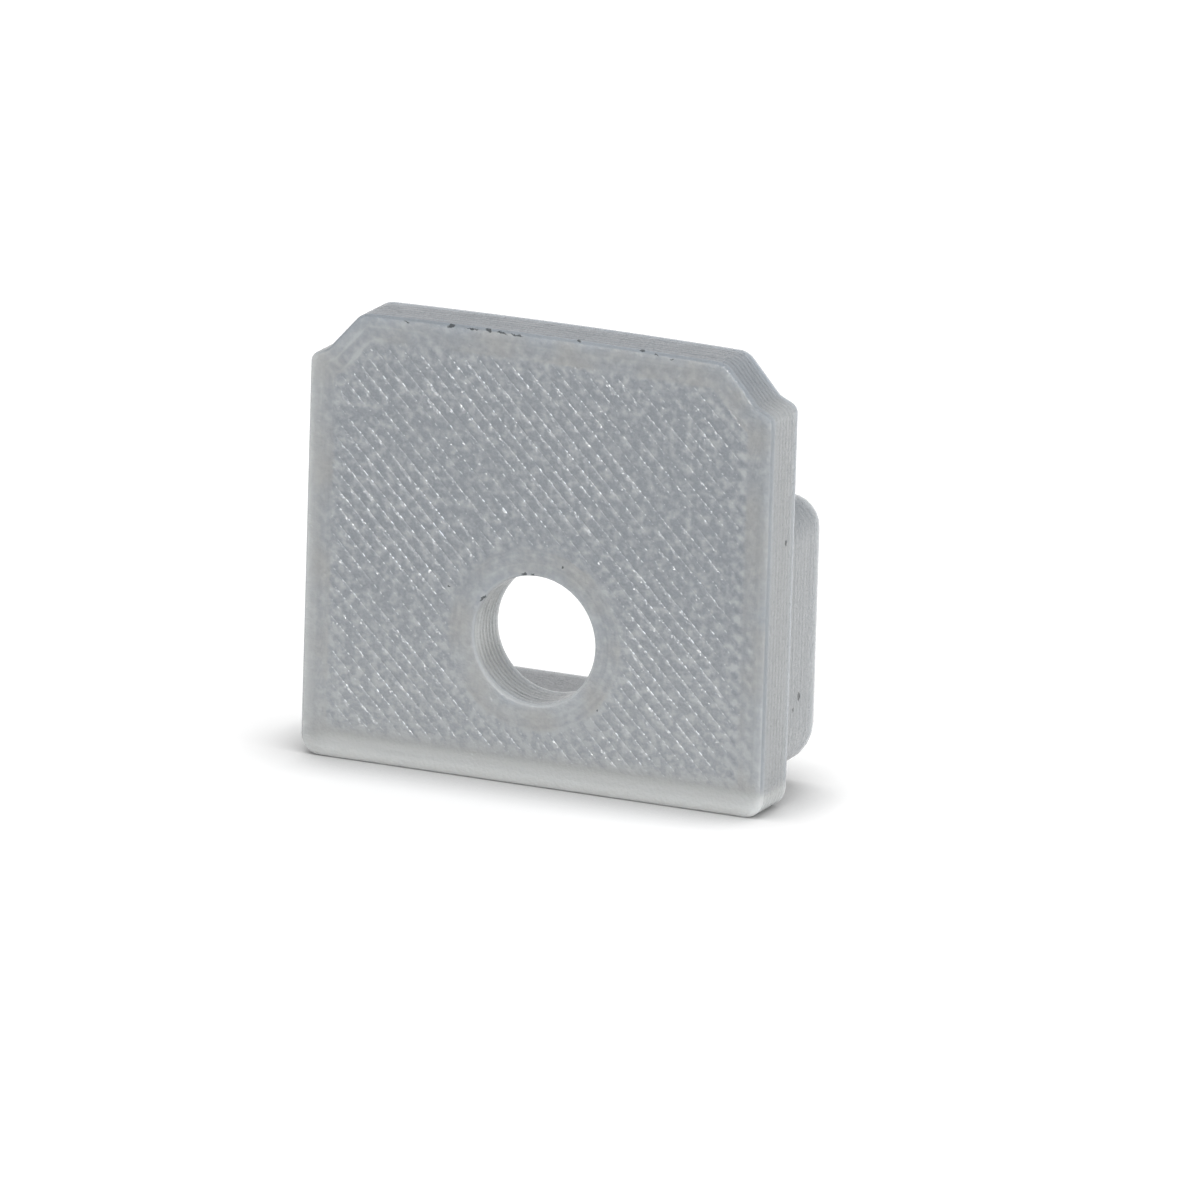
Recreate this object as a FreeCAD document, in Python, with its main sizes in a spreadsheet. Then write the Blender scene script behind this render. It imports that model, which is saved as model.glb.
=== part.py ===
"""Profile end cap: one printed piece that closes the sawn end of a U-shaped light profile.

An upright plate follows the profile's outline, with a stepped notch at each upper corner where the
profile's cover snaps in and a gently crowned top edge. A cable hole goes through it low on the centre
line. Behind the plate a rounded plug slides into the profile. The plug is a closed frame: its floor
passes under the cable hole, so that a cable runs straight through.

Frame: millimetres, X across the profile, Y along it (the front face looks along -Y), Z up. The origin
is the centre of the underside of the piece's box.
"""

import FreeCAD
import Part
import Sketcher

import os

NODE = "end_cap"

# Driving sizes in millimetres, one row of the sheet each. Heights count from the plate's bottom edge.
SIZES = (
    ("plate_width", 17.0, "plate, side to side"),
    ("plate_height", 15.58, "plate, bottom edge to the middle of the crowned top edge"),
    ("plate_thickness", 2.0, "plate, front face to seat face"),
    ("crown", 0.08, "rise of the top edge between its ends"),
    ("lower_corner_radius", 0.7, "rounding of the plate's two bottom corners"),
    ("front_bevel", 0.1, "bevel round the front face, one rounded layer edge"),
    ("notch_width", 1.85, "side of the plate to the upper end of the notch's flank"),
    ("notch_drop", 1.36, "top edge's end down to the foot of the notch's flank"),
    ("shoulder_width", 0.65, "side of the plate to the foot of the notch's flank"),
    ("shoulder_fall", 0.3, "fall of the shoulder from the flank's foot to the side"),
    ("notch_head_radius", 0.7, "rounding where the top edge turns into the flank"),
    ("notch_root_radius", 0.5, "rounding in the foot of the notch"),
    ("shoulder_radius", 0.4, "rounding where the shoulder turns into the side"),
    ("hole_diameter", 4.4, "cable hole"),
    ("hole_height", 5.06, "centre of the cable hole above the bottom edge"),
    ("plug_length", 3.3, "plug, seat face to free end"),
    ("plug_side_inset", 0.5, "plug inside the plate at each side"),
    ("plug_base_inset", 0.45, "plug's underside above the plate's bottom edge"),
    ("plug_wall", 1.3, "plug's side walls and head bar"),
    ("plug_lower_radius", 1.7, "rounding of the plug's lower corners"),
    ("plug_upper_radius", 1.05, "rounding of the plug's upper corners"),
    ("hollow_radius", 0.5, "rounding of the hollow's corners"),
    ("floor_clearance", 0.3, "cable hole's lowest point down to the hollow's floor"),
    ("head_clearance", 1.34, "cable hole's highest point up to the hollow's ceiling"),
)

# Places worked out from the driving sizes, as formulas of the sheet.
FORMULAS = (
    ("half_width", "plate_width / 2"),
    ("top_end_height", "plate_height - crown"),
    ("top_half_chord", "half_width - notch_width"),
    ("top_radius", "(top_half_chord * top_half_chord + crown * crown) / (2 * crown)"),
    ("foot_half_width", "half_width - shoulder_width"),
    ("foot_height", "top_end_height - notch_drop"),
    ("shoulder_height", "foot_height - shoulder_fall"),
    ("plug_half_width", "half_width - plug_side_inset"),
    ("hollow_half_width", "plug_half_width - plug_wall"),
    ("floor_height", "hole_height - hole_diameter / 2 - floor_clearance"),
    ("ceiling_height", "hole_height + hole_diameter / 2 + head_clearance"),
    ("plug_top_height", "ceiling_height + plug_wall"),
    ("cap_depth", "plate_thickness + plug_length"),
)

TOUCH = 1e-4  # how close two coordinates lie, in millimetres, to count as the same place
LEFT, RIGHT = -1, 1


def make_sheet(doc):
    """Write the driving sizes and the formulas into the sheet, each cell with its alias."""
    sheet = doc.addObject("Spreadsheet::Sheet", "sizes")
    row = 1
    for alias, value, meaning in SIZES:
        sheet.set(f"A{row}", meaning)
        sheet.set(f"B{row}", str(value))
        sheet.setAlias(f"B{row}", alias)
        row += 1
    for alias, formula in FORMULAS:
        sheet.set(f"A{row}", alias.replace("_", " "))
        sheet.set(f"B{row}", f"={formula}")
        sheet.setAlias(f"B{row}", alias)
        row += 1
    doc.recompute()
    return sheet


def add_sketch(body, name, depth_formula=None):
    """Add a sketch on the body's upright XZ plane, moved back from the front face by a depth.

    The sketch's own x and y are the body's X and Z, and its normal points forward, along -Y.
    """
    plane = next(p for p in body.Origin.OriginFeatures if p.Role == "XZ_Plane")
    sketch = body.newObject("Sketcher::SketchObject", name)
    sketch.AttachmentSupport = [(plane, "")]
    sketch.MapMode = "FlatFace"
    if depth_formula:
        sketch.setExpression("AttachmentOffset.Base.z", f"-({depth_formula})")
    return sketch


def bind(sketch, constraint, name, formula):
    """Add a driving constraint, name it and bind its value to a formula of the sheet."""
    index = sketch.addConstraint(constraint)
    sketch.renameConstraint(index, name)
    sketch.setExpression(f"Constraints.{name}", formula)


def bind_end(sketch, direction, curve, end, name, value, alias):
    """Bind how far one end of a curve lies from the sketch's origin, across or above it."""
    bind(sketch, Sketcher.Constraint(direction, -1, 1, curve, end, value), name, f"sizes.{alias}")


def point(x, y):
    """Return a point of a sketch's plane."""
    return FreeCAD.Vector(x, y, 0)


def draw_box(sketch, sheet, half_width, low, high):
    """Draw a rectangle that is symmetric about the centre line, bound to three cells of the sheet."""
    half = sheet.get(half_width)
    bottom, top = sheet.get(low), sheet.get(high)
    corners = [point(-half, bottom), point(half, bottom), point(half, top), point(-half, top)]
    for start, end in zip(corners, corners[1:] + corners[:1]):
        sketch.addGeometry(Part.LineSegment(start, end), False)
    for line in range(4):
        sketch.addConstraint(Sketcher.Constraint("Coincident", line, 2, (line + 1) % 4, 1))
    sketch.addConstraint(Sketcher.Constraint("Horizontal", 2))
    sketch.addConstraint(Sketcher.Constraint("Vertical", 1))
    sketch.addConstraint(Sketcher.Constraint("Symmetric", 0, 1, 0, 2, -2))
    width = Sketcher.Constraint("DistanceX", 0, 1, 0, 2, 2 * half)
    bind(sketch, width, "width", f"2 * sizes.{half_width}")
    bind_end(sketch, "DistanceY", 0, 1, "low", bottom, low)
    bind_end(sketch, "DistanceY", 1, 2, "high", top, high)


def draw_plate_outline(sketch, sheet):
    """Draw the plate's outline: flat bottom, upright sides, a stepped notch each side, crowned top."""
    half, shoulder = sheet.half_width, sheet.shoulder_height
    foot_x, foot_y = sheet.foot_half_width, sheet.foot_height
    head_x, head_y = sheet.top_half_chord, sheet.top_end_height
    right = [point(half, 0), point(half, shoulder), point(foot_x, foot_y), point(head_x, head_y)]
    left = [point(-p.x, p.y) for p in reversed(right)]

    bottom = sketch.addGeometry(Part.LineSegment(left[-1], right[0]), False)
    right_lines = [sketch.addGeometry(Part.LineSegment(a, b), False) for a, b in zip(right, right[1:])]
    top_arc = Part.Arc(right[-1], point(0, sheet.plate_height), left[0])
    top = sketch.addGeometry(top_arc, False)
    left_lines = [sketch.addGeometry(Part.LineSegment(a, b), False) for a, b in zip(left, left[1:])]

    chain = [bottom, *right_lines]
    for line, following in zip(chain, chain[1:]):
        sketch.addConstraint(Sketcher.Constraint("Coincident", line, 2, following, 1))
    sketch.addConstraint(Sketcher.Constraint("Coincident", right_lines[-1], 2, top, 1))
    sketch.addConstraint(Sketcher.Constraint("Coincident", top, 2, left_lines[0], 1))
    chain = [*left_lines, bottom]
    for line, following in zip(chain, chain[1:]):
        sketch.addConstraint(Sketcher.Constraint("Coincident", line, 2, following, 1))
    for line, mirrored in zip(right_lines, reversed(left_lines)):
        sketch.addConstraint(Sketcher.Constraint("Symmetric", line, 2, mirrored, 1, -2))
    sketch.addConstraint(Sketcher.Constraint("Symmetric", bottom, 1, bottom, 2, -2))
    sketch.addConstraint(Sketcher.Constraint("PointOnObject", bottom, 2, -1))
    sketch.addConstraint(Sketcher.Constraint("Vertical", right_lines[0]))

    side, ledge, flank = right_lines
    across, above = "DistanceX", "DistanceY"
    bind_end(sketch, across, side, 1, "side_x", half, "half_width")
    bind_end(sketch, above, side, 2, "shoulder_z", shoulder, "shoulder_height")
    bind_end(sketch, across, ledge, 2, "foot_x", foot_x, "foot_half_width")
    bind_end(sketch, above, ledge, 2, "foot_z", foot_y, "foot_height")
    bind_end(sketch, across, flank, 2, "head_x", head_x, "top_half_chord")
    bind_end(sketch, above, flank, 2, "head_z", head_y, "top_end_height")
    bind(sketch, Sketcher.Constraint("Radius", top, sheet.top_radius), "top_radius", "sizes.top_radius")


def pad(body, name, sketch, length_formula):
    """Pad a sketch backwards, along +Y."""
    feature = body.newObject("PartDesign::Pad", name)
    feature.Profile = sketch
    feature.Reversed = True
    feature.setExpression("Length", length_formula)
    feature.Document.recompute()
    return feature


def pocket(body, name, sketch, length_formula):
    """Cut a sketch backwards, along +Y, and make sure that it takes material away."""
    before = body.Shape.Volume
    feature = body.newObject("PartDesign::Pocket", name)
    feature.Profile = sketch
    feature.setExpression("Length", length_formula)
    feature.Document.recompute()
    if body.Shape.Volume >= before:
        raise RuntimeError(f"{name} cut nothing")
    return feature


def edges_along_depth(shape, places, low, high):
    """Name the straight edges along Y that stand at the given (x, z) places between two depths."""
    found = []
    for number, edge in enumerate(shape.Edges, start=1):
        if len(edge.Vertexes) < 2:
            continue
        start, end = edge.Vertexes[0].Point, edge.Vertexes[-1].Point
        upright = abs(start.x - end.x) > TOUCH or abs(start.z - end.z) > TOUCH
        if upright or min(start.y, end.y) < low - TOUCH or max(start.y, end.y) > high + TOUCH:
            continue
        if any(abs(start.x - x) < TOUCH and abs(start.z - z) < TOUCH for x, z in places):
            found.append(f"Edge{number}")
    if len(found) != len(places):
        raise RuntimeError(f"{len(found)} edges found for {len(places)} corners")
    return found


def round_corners(body, name, x, z, low, high, radius_alias):
    """Fillet the pair of edges along Y that stand at plus and minus x, at height z."""
    base = body.Tip
    places = [(side * x, z) for side in (LEFT, RIGHT)]
    feature = body.newObject("PartDesign::Fillet", name)
    feature.Base = (base, edges_along_depth(base.Shape, places, low, high))
    feature.setExpression("Radius", f"sizes.{radius_alias}")
    feature.Document.recompute()
    return feature


def build_plate(body, sheet):
    """Build the plate with its rounded corners and the bevel round its front face."""
    outline = add_sketch(body, "plate_outline")
    draw_plate_outline(outline, sheet)
    pad(body, "plate", outline, "sizes.plate_thickness")

    thickness = sheet.plate_thickness
    corners = (
        ("lower_corners", sheet.half_width, 0.0, "lower_corner_radius"),
        ("shoulders", sheet.half_width, sheet.shoulder_height, "shoulder_radius"),
        ("notch_roots", sheet.foot_half_width, sheet.foot_height, "notch_root_radius"),
        ("notch_heads", sheet.top_half_chord, sheet.top_end_height, "notch_head_radius"),
    )
    for name, x, z, radius in corners:
        round_corners(body, name, x, z, 0.0, thickness, radius)

    base = body.Tip
    front = [
        f"Edge{number}"
        for number, edge in enumerate(base.Shape.Edges, start=1)
        if edge.BoundBox.YMax < TOUCH
    ]
    bevel = body.newObject("PartDesign::Chamfer", "front_edge")
    bevel.Base = (base, front)
    bevel.setExpression("Size", "sizes.front_bevel")
    body.Document.recompute()


def build_plug(body, sheet):
    """Build the plug behind the plate: a rounded block, then the hollow that leaves it a frame."""
    block = add_sketch(body, "plug_outline", "sizes.plate_thickness")
    draw_box(block, sheet, "plug_half_width", "plug_base_inset", "plug_top_height")
    pad(body, "plug", block, "sizes.plug_length")

    seat, end = sheet.plate_thickness, sheet.cap_depth
    half = sheet.plug_half_width
    round_corners(body, "plug_lower", half, sheet.plug_base_inset, seat, end, "plug_lower_radius")
    round_corners(body, "plug_upper", half, sheet.plug_top_height, seat, end, "plug_upper_radius")

    opening = add_sketch(body, "hollow_outline", "sizes.plate_thickness")
    draw_box(opening, sheet, "hollow_half_width", "floor_height", "ceiling_height")
    pocket(body, "hollow", opening, "sizes.plug_length")
    half = sheet.hollow_half_width
    round_corners(body, "hollow_floor", half, sheet.floor_height, seat, end, "hollow_radius")
    round_corners(body, "hollow_ceiling", half, sheet.ceiling_height, seat, end, "hollow_radius")


def build_cable_hole(body, sheet):
    """Cut the round cable hole through the plate, into the plug's hollow."""
    ring = add_sketch(body, "hole_ring")
    radius = sheet.hole_diameter / 2
    circle = Part.Circle(point(0, sheet.hole_height), FreeCAD.Vector(0, 0, 1), radius)
    ring.addGeometry(circle, False)
    ring.addConstraint(Sketcher.Constraint("PointOnObject", 0, 3, -2))
    diameter = Sketcher.Constraint("Diameter", 0, sheet.hole_diameter)
    bind(ring, diameter, "diameter", "sizes.hole_diameter")
    bind_end(ring, "DistanceY", 0, 3, "height", sheet.hole_height, "hole_height")
    pocket(body, "cable_hole", ring, "sizes.plate_thickness")


def check(doc, body):
    """Stop if any feature failed or the finished shape isn't one valid solid."""
    for item in doc.Objects:
        if {"Invalid", "Error"} & set(item.State):
            raise RuntimeError(f"{item.Label} failed: {item.State}")
    shape = body.Shape
    if shape.isNull() or not shape.isValid() or len(shape.Solids) != 1:
        raise RuntimeError(f"{body.Label} isn't one valid solid")


def report(shape):
    """Print the finished piece's size, weight centre and volume."""
    box, centre = shape.BoundBox, shape.CenterOfGravity
    print(f"{NODE}: {box.XLength:.3f} x {box.YLength:.3f} x {box.ZLength:.3f} mm")
    print(f"  X from {box.XMin:.3f}, Y from {box.YMin:.3f}, Z from {box.ZMin:.3f}")
    print(f"  volume {shape.Volume:.1f} mm3, centre {centre.x:.3f}, {centre.y:.3f}, {centre.z:.3f}")


def main():
    """Build the end cap, place it over its origin and write it out."""
    doc = FreeCAD.newDocument("profile_end_cap")
    sheet = make_sheet(doc)
    body = doc.addObject("PartDesign::Body", NODE)
    body.Label = NODE
    build_plate(body, sheet)
    build_plug(body, sheet)
    build_cable_hole(body, sheet)
    body.setExpression("Placement.Base.y", "-sizes.cap_depth / 2")
    doc.recompute()
    check(doc, body)
    report(body.Shape)
    os.makedirs("parts", exist_ok=True)
    body.Shape.exportStep(f"parts/{body.Label}.step")


main()
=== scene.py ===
"""Looks of the profile end cap: the filament's beads and layers, the plastic, the studio and the camera.

The cap was printed with its front face down. So the front face shows the first layer, pressed flat:
two beads round the outline and round the cable hole, and slanted fill beads between them. The walls
show the layers one above the other, and the faces turned to the back show the last layer of each step.
The mesh follows that filament. Every wall is a chain of loops along the crests and furrows of its
layers, and every filled face is a triangulation whose points lie in rows along the beads.

Sizes are millimetres in the part's frame until a mesh, lamp or camera is made, which gets metres.
A depth counts backwards from the front face.
"""

import logging
import math
from collections.abc import Iterable, Sequence
from dataclasses import dataclass, field
from enum import Enum
from typing import Any, NamedTuple

import bpy
import numpy as np
from mathutils import Matrix, Quaternion, Vector, noise
from mathutils.geometry import delaunay_2d_cdt


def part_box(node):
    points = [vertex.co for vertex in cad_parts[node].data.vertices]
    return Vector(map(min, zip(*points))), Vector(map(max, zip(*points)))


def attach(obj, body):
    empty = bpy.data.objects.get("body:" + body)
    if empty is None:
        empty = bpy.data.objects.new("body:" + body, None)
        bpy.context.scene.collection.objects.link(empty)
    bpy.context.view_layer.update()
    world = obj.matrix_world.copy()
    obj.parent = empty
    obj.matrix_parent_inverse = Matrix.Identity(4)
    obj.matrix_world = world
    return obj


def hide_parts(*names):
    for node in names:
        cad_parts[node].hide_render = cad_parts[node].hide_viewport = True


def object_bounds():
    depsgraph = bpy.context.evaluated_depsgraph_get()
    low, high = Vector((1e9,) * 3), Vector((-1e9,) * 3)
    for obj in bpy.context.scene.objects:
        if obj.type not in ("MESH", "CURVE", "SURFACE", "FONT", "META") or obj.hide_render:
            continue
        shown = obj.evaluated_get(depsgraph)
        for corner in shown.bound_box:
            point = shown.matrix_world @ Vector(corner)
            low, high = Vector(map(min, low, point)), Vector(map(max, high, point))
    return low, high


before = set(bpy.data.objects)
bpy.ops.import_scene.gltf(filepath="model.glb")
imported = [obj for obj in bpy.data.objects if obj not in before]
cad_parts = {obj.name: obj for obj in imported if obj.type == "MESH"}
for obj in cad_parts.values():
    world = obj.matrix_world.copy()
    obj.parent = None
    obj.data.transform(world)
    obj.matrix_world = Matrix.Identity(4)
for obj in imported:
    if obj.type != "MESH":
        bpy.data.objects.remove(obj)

CAD_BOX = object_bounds()
MM = 0.001
LOG = logging.getLogger("profile_end_cap")

# Edges that turn by more than this, in degrees, are shown sharp.
SHARP_ANGLE = 55.0

# Points of a face that lie nearer than this, in millimetres, count as one.
MERGE_DISTANCE = 1e-7

# Sockets of a Mix node that mixes colours
MIX_SHARE, MIX_UNDER, MIX_OVER, MIX_RESULT = 0, 6, 7, 2


class Facing(Enum):
    """Which way a flat face looks; the value is the step in depth that leads into the plastic."""

    FRONT = 1
    BACK = -1


class Plastic(Enum):
    """On which side of an outline the plastic lies; the value is the sign of an inset that leads into it."""

    INSIDE = 1
    OUTSIDE = -1


class FillSlant(Enum):
    """Which way the fill beads of a layer run, seen from the front; the value is their angle in degrees."""

    FALLING = -45.0
    RISING = 45.0


class Pattern(NamedTuple):
    """Smooth random values: their strength, the distance over which they change, and which they are."""

    strength: float
    size: float
    seed: float


@dataclass(frozen=True)
class Filament:
    """How the printer lays its filament, in millimetres.

    Places on a bead or a layer are shares of its width, with the crest at 0.5 and the furrows at 0 and 1.
    A level is the share on each side of the crest that doesn't fall towards the furrow yet.
    """

    wall_bead: float = 0.436
    fill_bead: float = 0.40
    layer: float = 0.25
    bead_places: tuple[float, ...] = (0.14, 0.3, 0.5, 0.7, 0.86, 1.0)
    bead_level: float = 0.16
    layer_places: tuple[float, ...] = (0.0, 0.18, 0.5, 0.82)
    layer_level: float = 0.1
    fill_level: float = 0.42
    face_furrow: float = 0.014
    edge_furrow: float = 0.014
    wall_furrow: float = 0.022
    pressed_edge: float = 0.12
    upper_edge: float = 0.06
    bend_angles: tuple[float, ...] = (25.0, 50.0, 75.0)
    layer_shift: float = 0.010
    layer_beat: float = 2.4
    unevenness: float = 0.006
    swell_length: float = 1.7
    swell_shift: float = 3.1
    edge_variety: float = 0.8
    wall_variety: float = 0.6
    loop_step: float = 0.21
    front_step: float = 0.12
    back_step: float = 0.26


@dataclass(frozen=True)
class Flow:
    """How the filament's flow changes the fill. A flow of 1 leaves furrows of full depth."""

    usual: float = 0.95
    patches: Pattern = Pattern(0.7, 3.6, 2.2)
    sparks: Pattern = Pattern(0.8, 0.26, 4.2)
    stretches: Pattern = Pattern(0.6, 1.1, 9.4)
    furrow_shift: float = 2.7
    least: float = 0.1
    most: float = 1.6
    border_fade: float = 0.7
    at_border: float = 0.2
    at_bottom: float = 0.6
    bottom_height: float = 4.0
    less_at_right: float = 0.7
    right_reach: float = 1.2
    bead_heights: Pattern = Pattern(0.007, 1.0, 7.7)
    bead_shift: float = 1.9
    bead_stretch: float = 0.35
    swells: Pattern = Pattern(1.0, 0.8, 1.3)


@dataclass(frozen=True)
class Corner:
    """A corner of an outline, seen from the front."""

    x: float
    z: float
    radius: float


class Row(NamedTuple):
    """One loop of a chain: where it lies and how deep it sits in the furrow between two beads."""

    inset: float
    depth: float
    furrow: float = 0.0
    bead: int = 0
    facing: Facing | None = None


class Skin(NamedTuple):
    """Look of one wall: which unevenness it has, how strong its relief is, and its tones.

    A tone moves the plastic's colour: -1 is shaded, 0 is its body and 1 is clouded. A skin's tones are
    painted light and shade: on the whole wall, on its faces that look up, in its furrows, and darker where it
    is solid above the given height.
    """

    seed: float
    relief: float
    tone: float
    up_facing_light: float
    furrow_shade_and_sheen: float
    solid_above: float = math.inf


# Painted light and shade of each wall: shaded hollow, lit hole, shaded or lit faces that look up, shaded
# furrows
PLATE_SKIN = Skin(seed=0.4, relief=0.8, tone=-0.1, up_facing_light=-0.38, furrow_shade_and_sheen=-0.5)
PLUG_SKIN = Skin(seed=5.1, relief=0.5, tone=0.2, up_facing_light=0.0, furrow_shade_and_sheen=-0.1)
HOLLOW_SKIN = Skin(seed=8.6, relief=0.3, tone=-0.6, up_facing_light=-0.6, furrow_shade_and_sheen=0.0)
HOLE_SKIN = Skin(seed=2.9, relief=1.2, tone=0.7, up_facing_light=0.65, furrow_shade_and_sheen=-0.8)


@dataclass(frozen=True)
class Tones:
    """How pale the cap is where, and over what reaches, in millimetres.

    Edge light is painted light that an edge lets in, 0 to 1. The other tones are like a skin's, and many are
    painted light or shade too.
    """

    # Painted light that comes in at the bottom, less of it at the left corner
    bottom_reach: float = 1.48
    bottom_left: float = 0.6
    corner_reach: float = 1.3
    # Painted light that comes in at the plate's sides, at the plug's sides and end, and on the wall of the
    # hole
    side_light: float = 0.34
    side_reach: float = 1.2
    left_reach: float = 1.0
    right_face: float = 0.35
    right_wall: float = 0.8
    plug_light: float = 0.27
    end_light: float = 0.32
    end_reach: float = 0.8
    end_bend: float = 0.6
    bore_light: float = 0.86
    bore_reach: float = 0.2
    bore_past: float = 0.1
    bore_spread: float = 0.9
    bore_low: float = 0.1
    bore_furrow: float = 0.4
    # Walls, with painted shade at the right edges and where the plug is solid, and painted light on the top's
    # rear edge
    bend_shade: float = 0.5
    back_shade: float = 1.0
    front_shade: float = 0.35
    solid_shade: float = 0.8
    solid_fade: float = 0.6
    top_glow: float = 0.7
    top_glow_reach: float = 0.7
    wall_cloud: float = 0.1
    streak: float = 0.3
    streak_size: float = 2.2
    streak_along: float = 0.45
    streak_across: float = 18.0
    # Flat faces, with painted glow towards the bottom, painted shade at the right and a painted sheen in the
    # furrows
    glow: float = 0.48
    glow_height: float = 9.0
    edge_tone: float = 0.2
    edge_cloud: float = 0.6
    right_shade: float = 0.1
    furrow_shade_and_sheen: float = 0.2
    # Pale ends of the fill beads, stronger on a strip at the right, and pale blobs where they meet a bead
    bead_end: float = 0.16
    bead_end_left: float = 0.25
    bead_end_right: float = 0.5
    bead_end_strip: float = 2.0
    blob: float = 0.8
    blob_left: float = 0.25
    blob_usual: float = 0.7
    blob_breaks: Pattern = Pattern(1.0, 0.7, 3.3)
    # The crease between two beads, open round the left notch, with a painted highlight there and painted
    # shade at the right
    crease_sheen: float = 0.3
    notch_highlight: float = 1.1
    crease_centre: tuple[float, float] = (-6.8, 13.9)
    crease_reach: float = 2.2
    right_crease_shade: float = 0.5
    inner_crease_shade: float = 0.6
    crease_usual: float = 0.6
    crease_breaks: Pattern = Pattern(0.8, 0.6, 6.1)


class FacePoints(NamedTuple):
    """Points of beads on a flat face: (x, z) places, depths, tones and how far in a furrow they are."""

    flat: np.ndarray
    depth: np.ndarray
    pale: np.ndarray
    furrow: np.ndarray


class FillGrid(NamedTuple):
    """Points in rows along fill beads: (x, z) places, ways across and along, and gaps to the border."""

    flat: np.ndarray
    across: np.ndarray
    along: np.ndarray
    gap: np.ndarray


class WallEnds(NamedTuple):
    """Numbers of the points of the loops at which the walls meet the flat faces."""

    plate_front: np.ndarray
    plate_back: np.ndarray
    plug_root: np.ndarray
    plug_end: np.ndarray
    hollow_end: np.ndarray
    hollow_root: np.ndarray
    hole_back: np.ndarray
    hole_front: np.ndarray


class Limit(NamedTuple):
    """A border that the points of a face keep within, or keep out of."""

    outline: "Outline"
    inset: float
    within: bool


def smooth_step(value: np.ndarray | float) -> np.ndarray | float:
    """Return a soft ramp from 0 to 1 over the values 0 to 1."""
    clipped = np.clip(value, 0.0, 1.0)
    return clipped * clipped * (3.0 - 2.0 * clipped)


def fade(value: np.ndarray | float, reach: float) -> np.ndarray | float:
    """Return a soft share that falls from 1 at zero to 0 at the reach."""
    return 1.0 - smooth_step(value / reach)


def nearing(value: np.ndarray | float, goal: float, reach: np.ndarray | float) -> np.ndarray | float:
    """Return a soft share that rises to 1 over the reach just before the value gets to its goal."""
    return smooth_step((value - goal) / reach + 1.0)


def between(low: float, high: float, share: np.ndarray | float) -> np.ndarray | float:
    """Return the value at a share of the way from a low value to a high one."""
    return low + (high - low) * share


def furrow_share(offset: np.ndarray | float, level: float) -> np.ndarray | float:
    """Return how deep a point sits between two beads.

    Args:
        offset: distance from the bead's crest, as a share of the bead's width, -0.5 to 0.5.
        level: share of the width on each side of the crest that is level.

    Returns:
        0 on the level part of the bead and 1 at the bottom of the furrow.
    """
    return smooth_step((np.abs(offset) - level) / (0.5 - level))


def at_depth(flat: np.ndarray, depth: np.ndarray | float) -> np.ndarray:
    """Return points in space from (x, z) places and their depths."""
    return np.column_stack([flat[:, 0], np.broadcast_to(depth, len(flat)), flat[:, 1]])


def ripple(points: np.ndarray, pattern: Pattern) -> np.ndarray:
    """Return the smooth random values of a pattern at a list of points.

    Args:
        points: rows of three numbers, in millimetres.
        pattern: the pattern's strength, size and seed.

    Returns:
        One value for each point.
    """
    places = points / pattern.size + pattern.seed
    return pattern.strength * np.array([noise.noise(Vector(place)) for place in places])


def turned(direction: np.ndarray) -> np.ndarray:
    """Return directions turned a quarter to the left."""
    return np.stack([-direction[..., 1], direction[..., 0]], axis=-1)


def gap_to(points: np.ndarray, loop: np.ndarray) -> np.ndarray:
    """Return the distance from each point to the nearest place on a closed loop.

    Args:
        points: (x, z) rows.
        loop: (x, z) rows of the loop.

    Returns:
        One distance for each point.
    """
    nearest = np.full(len(points), np.inf)
    for start, end in zip(loop, np.roll(loop, -1, axis=0)):
        run = end - start
        share = np.clip(((points - start) @ run) / (run @ run), 0.0, 1.0)
        nearest = np.minimum(nearest, np.linalg.norm(points - start - share[:, None] * run, axis=1))
    return nearest


def inside(points: np.ndarray, loop: np.ndarray) -> np.ndarray:
    """Tell which points lie inside a closed loop.

    Args:
        points: (x, z) rows to test.
        loop: (x, z) rows of the loop.

    Returns:
        One truth value for each point.
    """
    x, z = points[:, 0], points[:, 1]
    result = np.zeros(len(points), bool)
    for (ax, az), (bx, bz) in zip(loop, np.roll(loop, -1, axis=0)):
        if az == bz:
            continue
        crosses = (az > z) != (bz > z)
        result ^= crosses & (x < (bx - ax) * (z - az) / (bz - az) + ax)
    return result


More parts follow.
